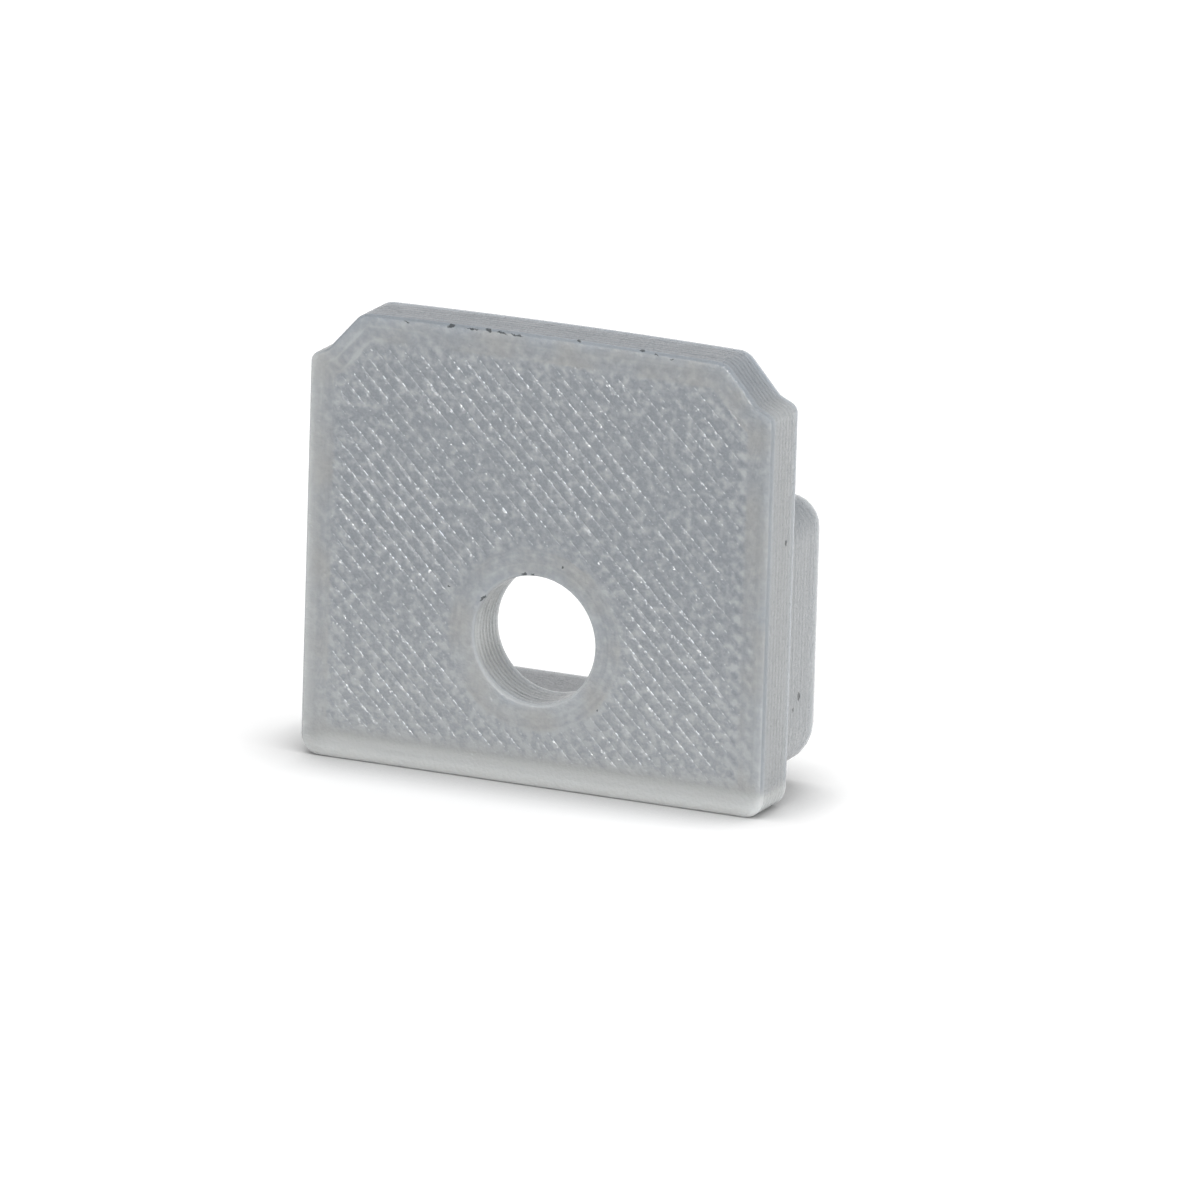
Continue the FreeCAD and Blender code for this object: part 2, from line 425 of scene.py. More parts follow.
class Outline:
    """Closed outline of straight edges and rounded corners that can be drawn again at any inset.

    A bead can't turn as sharply as a line, so an inset loop keeps some rounding at every corner.
    """

    arc_points = 7
    least_radius = 0.03
    softening = 0.35
    hollow_growth = 0.15
    probe = 0.02

    def __init__(self, corners: Sequence[Corner], step: float, crown: float = 0.0) -> None:
        """Prepare the outline.

        Args:
            corners: its corners, anticlockwise from the front.
            step: spacing of the points along straight edges.
            crown: rise of the upper edge between its ends.
        """
        self.tips = np.array([(c.x, c.z) for c in corners])
        self.radii = np.array([c.radius for c in corners])
        edges = np.roll(self.tips, -1, axis=0) - self.tips
        lengths = np.linalg.norm(edges, axis=1)
        self.after = edges / lengths[:, None]
        self.before = np.roll(self.after, 1, axis=0)
        cross = self.before[:, 0] * self.after[:, 1] - self.before[:, 1] * self.after[:, 0]
        self.turn = np.arctan2(cross, (self.before * self.after).sum(1))
        self.counts = np.maximum(2, np.round(lengths / step)).astype(int)
        self.crown = crown
        self.crown_reach = abs(self.tips[self.tips[:, 1].argmax(), 0])
        self.middle = self.tips[:, 1].mean()

    def loop(self, inset: float) -> np.ndarray:
        """Draw the outline, moved inwards by an inset.

        Args:
            inset: distance inwards, below 0 for outwards.

        Returns:
            (x, z) rows, always in the same number.
        """
        side_before, side_after = turned(self.before), turned(self.after)
        spread = 1.0 + (side_before * side_after).sum(1)
        tips = self.tips + (side_before + side_after) * (inset / spread)[:, None]
        bend = np.sign(self.turn)
        least = max(self.least_radius, self.softening * inset)
        radii = np.maximum(self.radii - bend * inset, least)
        radii = np.where((bend < 0) & (inset > 0), self.radii + self.hollow_growth * inset, radii)
        reach = (radii * np.tan(np.abs(self.turn) / 2))[:, None]
        starts, ends = tips - self.before * reach, tips + self.after * reach
        centres = starts + side_before * (bend * radii)[:, None]
        points = []
        for i, turn in enumerate(self.turn):
            spoke = complex(*(starts[i] - centres[i]))
            arc = spoke * np.exp(1j * np.linspace(0.0, turn, self.arc_points))
            points.append(np.stack([arc.real, arc.imag], axis=1) + centres[i])
            following = starts[(i + 1) % len(starts)]
            share = np.linspace(0.0, 1.0, self.counts[i] + 1)[1:-1, None]
            points.append(ends[i] + (following - ends[i]) * share)
        return self.crowned(np.concatenate(points))

    def crowned(self, points: np.ndarray) -> np.ndarray:
        """Bow the upper edge up.

        Args:
            points: (x, z) rows of a loop.

        Returns:
            The same rows, with those of the upper half raised towards the middle.
        """
        if self.crown:
            rise = np.clip(1.0 - (points[:, 0] / self.crown_reach) ** 2, 0.0, None)
            points[:, 1] += self.crown * rise * (points[:, 1] > self.middle)
        return points

    def inward(self) -> np.ndarray:
        """Find the way into the outline from each of its points.

        Returns:
            (x, z) rows of length 1, one for each point of a loop.
        """
        step = self.loop(self.probe) - self.loop(0.0)
        return step / np.linalg.norm(step, axis=1)[:, None]


class RoundOutline(Outline):
    """Circle with the same abilities as an outline of corners."""

    def __init__(self, z: float, radius: float, points: int) -> None:
        """Prepare a circle on the centre line.

        Args:
            z: height of its centre.
            radius: its radius.
            points: how many points a loop has.
        """
        angles = np.linspace(0.0, 2.0 * math.pi, points, endpoint=False)
        self.spokes = np.stack([np.cos(angles), np.sin(angles)], axis=1)
        self.centre = np.array([0.0, z])
        self.radius = radius

    def loop(self, inset: float) -> np.ndarray:
        """Return the circle's (x, z) points with the radius made smaller by the inset."""
        return self.centre + self.spokes * (self.radius - inset)


@dataclass
class MeshDraft:
    """Closed mesh in the making, with what each point knows of its place on the print."""

    points: list[np.ndarray] = field(default_factory=list)
    faces: list[Sequence[int]] = field(default_factory=list)
    traits: dict[str, list[np.ndarray]] = field(default_factory=dict)
    count: int = 0

    def add(self, flat: np.ndarray, depth: np.ndarray | float, **traits: Any) -> np.ndarray:
        """Add points.

        Args:
            flat: their (x, z) places.
            depth: their depths behind the front face.
            **traits: what the material asks about each point, always under the same names.

        Returns:
            The new points' numbers.
        """
        amount = len(flat)
        self.points.append(at_depth(flat, depth))
        for name, value in traits.items():
            self.traits.setdefault(name, []).append(np.broadcast_to(value, amount))
        self.count += amount
        return np.arange(self.count - amount, self.count)

    def bridge(self, first: np.ndarray, second: np.ndarray) -> None:
        """Join two loops of the same length with a band of faces."""
        first_next, second_next = np.roll(first, -1), np.roll(second, -1)
        self.faces.extend(np.column_stack([first, second, second_next, first_next]).tolist())

    def fill(self, borders: Sequence[np.ndarray], inner: np.ndarray, facing: Facing) -> None:
        """Fill the flat space between border loops, through inner points that are already added.

        Args:
            borders: numbers of the points of each loop, the outer loop first.
            inner: numbers of the points between them.
            facing: which way the new faces look.
        """
        placed = np.concatenate(self.points)[:, [0, 2]]
        numbers = np.concatenate([*borders, inner])
        flat = placed[numbers]
        edges, start = [], 0
        for border in borders:
            ring = np.arange(start, start + len(border))
            edges.extend(np.column_stack([ring, np.roll(ring, -1)]).tolist())
            start += len(border)
        corners = [Vector(place) for place in flat]
        made, _, triangles, origins, _, _ = delaunay_2d_cdt(corners, edges, [], 0, MERGE_DISTANCE)
        if len(made) != len(flat):
            raise RuntimeError(f"{len(flat)} points became {len(made)} when a face was filled")
        known = np.array([origin[0] for origin in origins])
        faces = known[np.array(triangles)]
        middles = flat[faces].mean(axis=1)
        keep = inside(middles, placed[borders[0]])
        for hole in borders[1:]:
            keep &= ~inside(middles, placed[hole])
        faces = numbers[faces[keep]]
        self.faces.extend((faces if facing is Facing.FRONT else faces[:, ::-1]).tolist())

    def to_object(self, name: str, front: float) -> bpy.types.Object:
        """Make the Blender object.

        Args:
            name: the piece's name.
            front: y of the front face in the part's frame.

        Returns:
            The linked object, its origin at the part's origin.
        """
        points = np.concatenate(self.points) + (0.0, front, 0.0)
        mesh = bpy.data.meshes.new(name)
        mesh.from_pydata((points * MM).tolist(), [], self.faces)
        for key, parts in self.traits.items():
            attribute = mesh.attributes.new(key, "FLOAT", "POINT")
            attribute.data.foreach_set("value", np.concatenate(parts).astype(np.float32))
        mesh.shade_smooth()
        mesh.set_sharp_from_angle(angle=math.radians(SHARP_ANGLE))
        mesh.validate()
        piece = bpy.data.objects.new(name, mesh)
        bpy.context.scene.collection.objects.link(piece)
        return piece


@dataclass
class PrintedCap:
    """The cap as it was printed: plate, plug, hollow and cable hole. Sizes follow the part's source."""

    filament: Filament = field(default_factory=Filament)
    flow: Flow = field(default_factory=Flow)
    tones: Tones = field(default_factory=Tones)
    plate_thickness: float = 2.0
    crown: float = 0.08
    lower_corner_radius: float = 0.7
    notch_width: float = 1.85
    notch_drop: float = 1.36
    shoulder_width: float = 0.65
    shoulder_fall: float = 0.3
    notch_head_radius: float = 0.7
    notch_root_radius: float = 0.5
    shoulder_radius: float = 0.4
    hole_radius: float = 2.2
    hole_height: float = 5.06
    hole_points: int = 84
    plug_side_inset: float = 0.5
    plug_base_inset: float = 0.45
    plug_wall: float = 1.3
    plug_lower_radius: float = 1.7
    plug_upper_radius: float = 1.05
    hollow_radius: float = 0.5
    floor_clearance: float = 0.3
    head_clearance: float = 1.34
    # Room left for the bead inside the two outer ones at the plug's end, as a share of its width
    third_bead: float = 0.94
    # Gap between the beads round an outline and the fill, and the furrow there
    fill_gap: float = 0.03
    fill_gap_furrow: float = 0.9
    # Distance that the points of a fill or a ring keep from the loops that bound their face
    margin: float = 0.07

    def __post_init__(self) -> None:
        """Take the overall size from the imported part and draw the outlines."""
        low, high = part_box("end_cap")
        self.half_width = high.x / MM
        self.height = high.z / MM
        self.front = low.y / MM
        self.cap_depth = (high.y - low.y) / MM
        self.draft = MeshDraft()
        self.plate = self.plate_outline()
        step = self.filament.loop_step
        half = self.half_width - self.plug_side_inset
        floor = self.hole_height - self.hole_radius - self.floor_clearance
        self.ceiling = self.hole_height + self.hole_radius + self.head_clearance
        roof = self.ceiling + self.plug_wall
        radii = (self.plug_lower_radius, self.plug_upper_radius)
        self.plug = Outline(self.box_corners(half, self.plug_base_inset, roof, *radii), step)
        half -= self.plug_wall
        radii = (self.hollow_radius, self.hollow_radius)
        self.hollow = Outline(self.box_corners(half, floor, self.ceiling, *radii), step)
        self.hole = RoundOutline(self.hole_height, self.hole_radius, self.hole_points)

    def plate_outline(self) -> Outline:
        """Draw the plate: flat bottom, upright sides, a stepped notch each side, crowned top.

        Returns:
            The plate's outline.
        """
        half, top = self.half_width, self.height - self.crown
        foot = top - self.notch_drop
        right = [
            Corner(half, 0.0, self.lower_corner_radius),
            Corner(half, foot - self.shoulder_fall, self.shoulder_radius),
            Corner(half - self.shoulder_width, foot, self.notch_root_radius),
            Corner(half - self.notch_width, top, self.notch_head_radius),
        ]
        left = [Corner(-c.x, c.z, c.radius) for c in reversed(right)]
        return Outline([*right, *left], self.filament.loop_step, self.crown)

    @staticmethod
    def box_corners(half: float, low: float, high: float, below: float, above: float) -> list[Corner]:
        """Return the four corners of a rounded box on the centre line.

        Args:
            half: half of its width.
            low: height of its lower edge.
            high: height of its upper edge.
            below: radius of the lower corners.
            above: radius of the upper corners.

        Returns:
            The corners, anticlockwise from the front.
        """
        return [
            Corner(-half, low, below),
            Corner(half, low, below),
            Corner(half, high, above),
            Corner(-half, high, above),
        ]

    def face_rows(self, beads: int, edge: float, depth: float, facing: Facing) -> list[Row]:
        """Return the rows of the beads that follow an outline on a flat face, from the edge inwards.

        Args:
            beads: how many beads lie side by side.
            edge: inset at which the rounded edge ends.
            depth: depth of the face.
            facing: which way the face looks.

        Returns:
            Rows from the edge on, then from the first bead's crest on, each bead with its own number.
        """
        filament = self.filament
        rows = [Row(edge, depth, 0.0, 0, facing)]
        for bead in range(beads):
            for place in filament.bead_places:
                if bead > 0 or place >= 0.5:
                    furrow = furrow_share(place - 0.5, filament.bead_level)
                    rows.append(Row((bead + place) * filament.wall_bead, depth, furrow, bead, facing))
        return rows

    def wall_rows(self, start: float, end: float) -> list[Row]:
        """Return the rows of the layers of a wall, without the crests' outer halves at its two ends.

        Args:
            start: depth of the wall's front end.
            end: depth of the wall's back end.

        Returns:
            Rows from the first crest to the last crest.
        """
        layers = round((end - start) / self.filament.layer)
        height = (end - start) / layers
        first = round(start / self.filament.layer)
        rows = []
        for layer in range(layers):
            for place in self.filament.layer_places:
                furrow = furrow_share(place - 0.5, self.filament.layer_level)
                rows.append(Row(0.0, start + (layer + place) * height, furrow, first + layer))
        return rows[2:-1]

    def edge_rows(self, radius: float, depth: float, facing: Facing) -> list[Row]:
        """Return the rows of a rounded edge between a flat face and a wall, from the face to the wall.

        Args:
            radius: size of the rounding.
            depth: depth of the flat face.
            facing: which way the face looks.

        Returns:
            Rows between the two ends of the rounding.
        """
        rows = []
        for angle in map(math.radians, self.filament.bend_angles):
            fall = facing.value * radius * (1 - math.cos(angle))
            rows.append(Row(radius * (1 - math.sin(angle)), depth + fall))
        return rows

    def lay(self, outline: Outline, row: Row, plastic: Plastic, skin: Skin) -> np.ndarray:
        """Add one loop of a chain, with the small unevenness that filament has.

        Args:
            outline: the outline that the bead follows.
            row: where the loop lies.
            plastic: on which side of the outline the plastic lies.
            skin: the wall's look.

        Returns:
            The numbers of the loop's points.
        """
        filament, tones, side = self.filament, self.tones, plastic.value
        flat = outline.loop(side * row.inset)
        swell = self.swell_at(flat, row, skin.seed)
        on_face = row.facing is not None
        if on_face:
            sink = row.furrow * filament.edge_furrow * (1.0 + filament.edge_variety * swell)
            sink += filament.unevenness * (0.5 + 0.5 * swell)
            depth = row.depth + row.facing.value * sink
            pale, cloud = self.face_tone(flat, row), tones.edge_cloud
        else:
            shift = filament.layer_shift * (0.5 + 0.5 * math.sin(filament.layer_beat * row.bead + skin.seed))
            sink = shift + row.furrow * filament.wall_furrow * (1.0 + filament.wall_variety * swell)
            sink = skin.relief * sink * fade(row.inset, filament.pressed_edge)
            flat = flat + outline.inward() * (side * sink)[:, None]
            depth = row.depth
            pale, cloud = self.wall_tone(outline, flat, row, plastic, skin), tones.wall_cloud
        run = at_depth(tones.streak_along * flat, tones.streak_across * (row.inset + row.depth))
        pale = pale + ripple(run, Pattern(tones.streak, tones.streak_size, skin.seed))
        rim = self.edge_light_at(flat, depth)
        # Painted shade in the furrows of the hole's wall, which get less of the painted edge light
        if outline is self.hole:
            rim = rim * (1.0 - tones.bore_furrow * row.furrow)
        return self.draft.add(flat, depth, rim=rim, pale=pale, cloud=cloud, furrow=0.0, warm=float(on_face))

    def swell_at(self, flat: np.ndarray, row: Row, seed: float) -> np.ndarray:
        """Return how a bead swells and thins along its way, about -1 to 1.

        Args:
            flat: (x, z) places along the bead.
            row: the bead's row, whose number shifts the pattern.
            seed: picks the pattern.

        Returns:
            One value for each place.
        """
        spot = at_depth(flat, self.filament.swell_shift * row.bead)
        return ripple(spot, Pattern(1.0, self.filament.swell_length, seed))

    def wall_tone(
        self, outline: Outline, flat: np.ndarray, row: Row, plastic: Plastic, skin: Skin
    ) -> np.ndarray:
        """Return the tone of a wall, with painted light and shade on its faces, furrows, solid part and the
        plate's right and rear edges.

        Args:
            outline: the wall's outline.
            flat: (x, z) places of the loop.
            row: where the loop lies.
            plastic: on which side of the outline the plastic lies.
            skin: the wall's look.

        Returns:
            One tone for each place.
        """
        filament, tones, right = self.filament, self.tones, self.at_right(flat)
        up = smooth_step(-plastic.value * outline.inward()[:, 1])
        # Painted light or shade on the wall, on its faces that look up and in its furrows
        pale = skin.up_facing_light * up + skin.tone + skin.furrow_shade_and_sheen * row.furrow
        # Painted shade where the plug is solid, and on the rounded edges at the right
        pale -= tones.solid_shade * smooth_step((flat[:, 1] - skin.solid_above) / tones.solid_fade)
        pale -= tones.bend_shade * smooth_step(row.inset / filament.upper_edge) * right
        if outline is self.plate:
            # Painted shade on the first and last layers of the plate's right wall, and painted light on the
            # top's rear edge
            last = nearing(row.depth, self.plate_thickness, filament.layer)
            first = fade(row.depth, 2 * filament.layer)
            pale -= (tones.back_shade * last + tones.front_shade * first) * right
            rear = nearing(row.depth, self.plate_thickness, tones.top_glow_reach)
            pale += tones.top_glow * rear * up * (1.0 - right)
        return pale

    def face_tone(self, flat: np.ndarray, row: Row) -> np.ndarray:
        """Return the tone of a bead that follows an outline on a flat face, painted light and shade included.

        Args:
            flat: (x, z) places along the bead.
            row: where the loop lies.

        Returns:
            One tone for each place.
        """
        tones = self.tones
        # Painted glow towards the bottom and painted shade at the right
        pale = tones.edge_tone + self.glow_at(flat) - tones.right_shade * self.at_right(flat)
        if row.facing is Facing.FRONT:
            pale += row.furrow**3 * self.crease_at(flat, row.bead)
            pale += (row.bead == 1) * (1.0 - row.furrow) * self.blob_at(flat)
        return pale

    def at_right(self, flat: np.ndarray) -> np.ndarray:
        """Return a soft share that is 1 at the plate's right edge and 0 a little way in."""
        return nearing(flat[:, 0], self.half_width, self.tones.side_reach)

    def edge_light_at(self, flat: np.ndarray, depth: np.ndarray | float) -> np.ndarray:
        """Return how much painted light comes in: at the bottom, the sides, the plug and the left of the
        hole.

        Args:
            flat: (x, z) places.
            depth: depths behind the front face.

        Returns:
            0 to 1 for each point.
        """
        filament, tones = self.filament, self.tones
        x, z, depth = flat[:, 0], flat[:, 1], np.broadcast_to(depth, len(flat))
        off_left = smooth_step((x + self.half_width) / tones.corner_reach)
        bottom = fade(z, tones.bottom_reach) * between(tones.bottom_left, 1.0, off_left)
        right = x > 0.0
        side_reach = np.where(right, tones.side_reach, tones.left_reach)
        behind_face = smooth_step(depth / filament.layer)
        side = tones.side_light * nearing(np.abs(x), self.half_width, side_reach)
        side *= np.where(right, between(tones.right_face, tones.right_wall, behind_face), 1.0)
        side *= 1.0 - nearing(depth, self.plate_thickness, filament.layer)
        end = tones.end_light * nearing(depth, self.cap_depth, tones.end_reach)
        end *= 1.0 - tones.end_bend * nearing(depth, self.cap_depth, filament.upper_edge)
        plug = tones.plug_light * (depth > self.plate_thickness) * (depth < self.cap_depth)
        plug *= nearing(np.abs(x), self.half_width, self.plug_wall)
        away = np.hypot(x, z - self.hole_height) - self.hole_radius
        spread = tones.bore_spread * self.hole_radius
        bore = tones.bore_light * fade(away, tones.bore_reach) * smooth_step(depth / tones.bore_reach)
        bore *= smooth_step(-x / spread) * (depth < self.plate_thickness + tones.bore_past)
        bore *= between(tones.bore_low, 1.0, nearing(z, self.hole_height, spread))
        return np.max([bottom, side, end, plug, bore], axis=0)

    def glow_at(self, flat: np.ndarray) -> np.ndarray:
        """Return the painted light that makes a flat face paler towards the bottom, where more light comes
        through.
        """
        return self.tones.glow * fade(flat[:, 1], self.tones.glow_height)

    def crease_at(self, flat: np.ndarray, bead: int) -> np.ndarray:
        """Return the tone of the furrow behind a bead at the edge: painted highlight at the left notch,
        painted shade at the right.

        Args:
            flat: (x, z) places along the furrow.
            bead: the bead's number, counted from the edge.

        Returns:
            One tone for each place.
        """
        tones = self.tones
        away = np.linalg.norm(flat - np.array(tones.crease_centre), axis=1)
        broken = tones.crease_usual + ripple(at_depth(flat, 0.0), tones.crease_breaks)
        # Painted highlight round the notch and painted shade at the right, both broken up along the furrow
        pale = tones.crease_sheen + tones.notch_highlight * fade(away, tones.crease_reach)
        dark = (tones.right_crease_shade + tones.inner_crease_shade * bead) * self.at_right(flat)
        return (pale - dark) * broken

    def blob_at(self, flat: np.ndarray) -> np.ndarray:
        """Return how much paler the inner edge bead is where each fill bead runs into it.

        Args:
            flat: (x, z) places along the bead.

        Returns:
            One tone for each place, strongest at the right.
        """
        tones = self.tones
        across = (flat[:, 0] + flat[:, 1]) / math.sqrt(2.0)
        beat = np.cos(2.0 * math.pi * across / self.filament.fill_bead)
        uneven = tones.blob_usual + ripple(at_depth(flat, 0.0), tones.blob_breaks)
        return tones.blob * beat * uneven * between(tones.blob_left, 1.0, self.at_right(flat))

    def chain(self, outline: Outline, rows: Iterable[Row], plastic: Plastic, skin: Skin) -> list[np.ndarray]:
        """Lay rows one after the other and join each to the last.

        Args:
            outline: the outline that they follow.
            rows: the rows in order.
            plastic: on which side of the outline the plastic lies.
            skin: the wall's look.

        Returns:
            The first and the last loop.
        """
        loops = [self.lay(outline, row, plastic, skin) for row in rows]
        for first, second in zip(loops, loops[1:]):
            self.draft.bridge(first, second)
        return [loops[0], loops[-1]]

    def fill_grid(self, slant: FillSlant, step: float, limits: Sequence[Limit]) -> FillGrid:
        """Place points in rows along the fill beads of a flat face.

        Args:
            slant: which way the beads run.
            step: spacing of the points along a bead.
            limits: borders of the filled area.

        Returns:
            The points within the limits.
        """
        pitch, level = self.filament.fill_bead, self.filament.fill_level
        flank = (level + 0.5) / 2
        places = np.array([-flank, -level, 0.0, level, flank, 0.5])
        reach = math.hypot(self.half_width, self.height)
        most = math.ceil(reach / pitch)
        rows = (np.arange(-most, most + 1)[:, None] + places).ravel() * pitch
        across, along = (grid.ravel() for grid in np.meshgrid(rows, np.arange(-reach, reach, step)))
        angle = math.radians(slant.value)
        run = np.array([math.cos(angle), math.sin(angle)])
        flat = along[:, None] * run + across[:, None] * turned(run)
        keep = (np.abs(flat[:, 0]) < self.half_width) & (flat[:, 1] > 0) & (flat[:, 1] < self.height)
        loops = [(limit.outline.loop(limit.inset), limit.within) for limit in limits]
        for loop, within in loops:
            keep[keep] &= inside(flat[keep], loop) == within
        gap = np.min([gap_to(flat[keep], loop) for loop, _ in loops], axis=0)
        return FillGrid(flat[keep], across[keep], along[keep], gap)

    def flow_at(self, grid: FillGrid, depth: float) -> np.ndarray:
        """Return how deep the furrows of a fill are: in patches, and less so near a border.

        Args:
            grid: the points of the fill.
            depth: depth of the face.

        Returns:
            The flow at each point.
        """
        flow, x, z = self.flow, grid.flat[:, 0], grid.flat[:, 1]
        furrow = np.floor(grid.across / self.filament.fill_bead)
        spot = np.column_stack([furrow * flow.furrow_shift, grid.along, np.full(len(x), depth)])
        amount = flow.usual + ripple(at_depth(grid.flat, depth), flow.patches)
        amount = amount + ripple(spot, flow.sparks) + ripple(spot, flow.stretches)
        amount = np.clip(amount, flow.least, flow.most)
        amount *= smooth_step(grid.gap / flow.border_fade + flow.at_border)
        amount *= between(flow.at_bottom, 1.0, smooth_step(z / flow.bottom_height))
        calm = nearing(x, self.half_width - flow.right_reach, flow.right_reach)
        return amount * (1.0 - flow.less_at_right * calm)

    def fill_points(
        self, slant: FillSlant, depth: float, facing: Facing, step: float, limits: Sequence[Limit]
    ) -> FacePoints:
        """Return the points of the fill beads of a flat face.

        Args:
            slant: which way the beads run.
            depth: depth of the face.
            facing: which way the face looks.
            step: spacing of the points along a bead.
            limits: borders of the filled area.

        Returns:
            The points, sunk into the furrows as deep as the flow left them.
        """
        filament, flow, tones = self.filament, self.flow, self.tones
        grid = self.fill_grid(slant, step, limits)
        bead = np.round(grid.across / filament.fill_bead)
        offset = grid.across / filament.fill_bead - bead
        share = furrow_share(offset, filament.fill_level)
        furrow = share * self.flow_at(grid, depth)
        level = np.full(len(bead), depth)
        spot = np.column_stack([bead * flow.bead_shift, grid.along * flow.bead_stretch, level])
        sink = furrow * filament.face_furrow + ripple(spot, flow.bead_heights) * (1.0 - share)
        sink = sink + filament.unevenness * (0.5 + ripple(at_depth(grid.flat, depth), flow.swells))
        right = grid.flat[:, 0] > self.half_width - tones.bead_end_strip
        pale = np.cos(2.0 * math.pi * offset) * np.exp(-((grid.gap / tones.bead_end - 1.0) ** 2))
        pale *= np.where(right, tones.bead_end_right, tones.bead_end_left)
        # Paler beads near the border, a painted sheen in the furrows, and the painted glow towards the bottom
        pale += tones.edge_tone * fade(grid.gap, flow.border_fade) + tones.furrow_shade_and_sheen * furrow
        pale += self.glow_at(grid.flat)
        return FacePoints(grid.flat, depth + facing.value * np.clip(sink, 0.0, None), pale, furrow)

    def ring_points(
        self, outline: Outline, plastic: Plastic, rows: Iterable[Row], seed: float, limits: Sequence[Limit]
    ) -> FacePoints:
        """Return the points of beads that follow an outline, on a face that other walls cut short.

        Args:
            outline: the outline that they follow.
            plastic: on which side of the outline the plastic lies.
            rows: the rows on the flat face.
            seed: picks the pattern of unevenness.
            limits: borders of the face.

        Returns:
            The points.
        """
        filament = self.filament
        flats, depths = [], []
        for row in rows:
            flat = outline.loop(plastic.value * row.inset)
            swell = self.swell_at(flat, row, seed)
            sink = row.furrow * filament.edge_furrow * (1.0 + filament.edge_variety * swell)
            flats.append(flat)
            depths.append(row.depth + row.facing.value * sink)
        flat, depth = np.concatenate(flats), np.concatenate(depths)
        for limit in limits:
            keep = inside(flat, limit.outline.loop(limit.inset)) == limit.within
            flat, depth = flat[keep], depth[keep]
        return FacePoints(flat, depth, np.full(len(flat), self.tones.edge_tone), np.zeros(len(flat)))

    def fill_face(self, borders: Sequence[np.ndarray], parts: Sequence[FacePoints], facing: Facing) -> None:
        """Fill a flat face with the points of its beads.

        Args:
            borders: loops that bound it, the outer loop first.
            parts: the points between them.
            facing: which way the face looks.
        """
        numbers = []
        for part in parts:
            traits = {"rim": self.edge_light_at(part.flat, part.depth), "pale": part.pale, "furrow": part.furrow}
            numbers.append(self.draft.add(part.flat, part.depth, cloud=1.0, warm=0.0, **traits))
        self.draft.fill(borders, np.concatenate(numbers), facing)

    def walls(self) -> WallEnds:
        """Lay the walls with the beads that follow them on the faces, each as one chain of loops.

        Returns:
            The chains' ends.
        """
        seat, end = self.plate_thickness, self.cap_depth
        pressed, upper = self.filament.pressed_edge, self.filament.upper_edge
        front = self.face_rows(2, pressed, 0.0, Facing.FRONT)
        inner = 2 * self.filament.wall_bead + self.fill_gap
        front.append(Row(inner, 0.0, self.fill_gap_furrow, 1, Facing.FRONT))
        plate_rows = [
            *reversed(front),
            *self.edge_rows(pressed, 0.0, Facing.FRONT),
            *self.wall_rows(0.0, seat),
            *reversed(self.edge_rows(upper, seat, Facing.BACK)),
            *self.face_rows(1, upper, seat, Facing.BACK),
        ]
        plug_rows = [
            Row(0.0, seat),
            *self.wall_rows(seat, end),
            *reversed(self.edge_rows(upper, end, Facing.BACK)),
            *self.face_rows(2, upper, end, Facing.BACK),
        ]
        third = [
            row._replace(inset=row.inset * self.third_bead)
            for row in self.face_rows(1, upper, end, Facing.BACK)
        ]
        hollow_rows = [
            *reversed(third),
            *self.edge_rows(upper, end, Facing.BACK),
            *reversed(self.wall_rows(seat, end)),
            Row(0.0, seat),
        ]
        hole_rows = [
            Row(upper, seat, 0.0, 0, Facing.BACK),
            *self.edge_rows(upper, seat, Facing.BACK),
            *reversed(self.wall_rows(0.0, seat)),
            *reversed(self.edge_rows(pressed, 0.0, Facing.FRONT)),
            *front,
        ]
        # The plug is painted darker where it is solid, above the hollow's ceiling
        plug_skin = PLUG_SKIN._replace(solid_above=self.ceiling)
        return WallEnds(
            *self.chain(self.plate, plate_rows, Plastic.INSIDE, PLATE_SKIN),
            *self.chain(self.plug, plug_rows, Plastic.INSIDE, plug_skin),
            *self.chain(self.hollow, hollow_rows, Plastic.OUTSIDE, HOLLOW_SKIN),
            *self.chain(self.hole, hole_rows, Plastic.OUTSIDE, HOLE_SKIN),
        )

    def faces(self, ends: WallEnds) -> None:
        """Fill the flat faces: the plate's front, its back round the plug and in the hollow, the plug's end.

        Args:
            ends: the loops at which the walls meet them.
        """
        filament, margin, seat, end = self.filament, self.margin, self.plate_thickness, self.cap_depth
        bead, step = filament.wall_bead, filament.back_step
        within_plate = Limit(self.plate, 2 * bead + margin, True)
        around_hole = Limit(self.hole, -2 * bead - margin, False)
        limits = [within_plate, around_hole]
        fill = self.fill_points(FillSlant.FALLING, 0.0, Facing.FRONT, filament.front_step, limits)
        self.fill_face([ends.plate_front, ends.hole_front], [fill], Facing.FRONT)

        rows = self.face_rows(2, filament.upper_edge, seat, Facing.BACK)
        second = [row for row in rows if row.inset > bead + margin]
        off_plug = Limit(self.plug, -margin, False)
        ring = self.ring_points(self.plate, Plastic.INSIDE, second, PLATE_SKIN.seed, [off_plug])
        fill = self.fill_points(FillSlant.RISING, seat, Facing.BACK, step, [within_plate, off_plug])
        self.fill_face([ends.plate_back, ends.plug_root], [ring, fill], Facing.BACK)

        in_hollow = Limit(self.hollow, margin, True)
        ring = self.ring_points(self.hole, Plastic.OUTSIDE, rows[1:], HOLE_SKIN.seed, [in_hollow])
        fill = self.fill_points(FillSlant.RISING, seat, Facing.BACK, step, [around_hole, in_hollow])
        self.fill_face([ends.hollow_root, ends.hole_back], [ring, fill], Facing.BACK)

        limits = [Limit(self.plug, 2 * bead + margin, True), Limit(self.hollow, -bead - margin, False)]
        fill = self.fill_points(FillSlant.FALLING, end, Facing.BACK, step, limits)
        self.fill_face([ends.plug_end, ends.hollow_end], [fill], Facing.BACK)

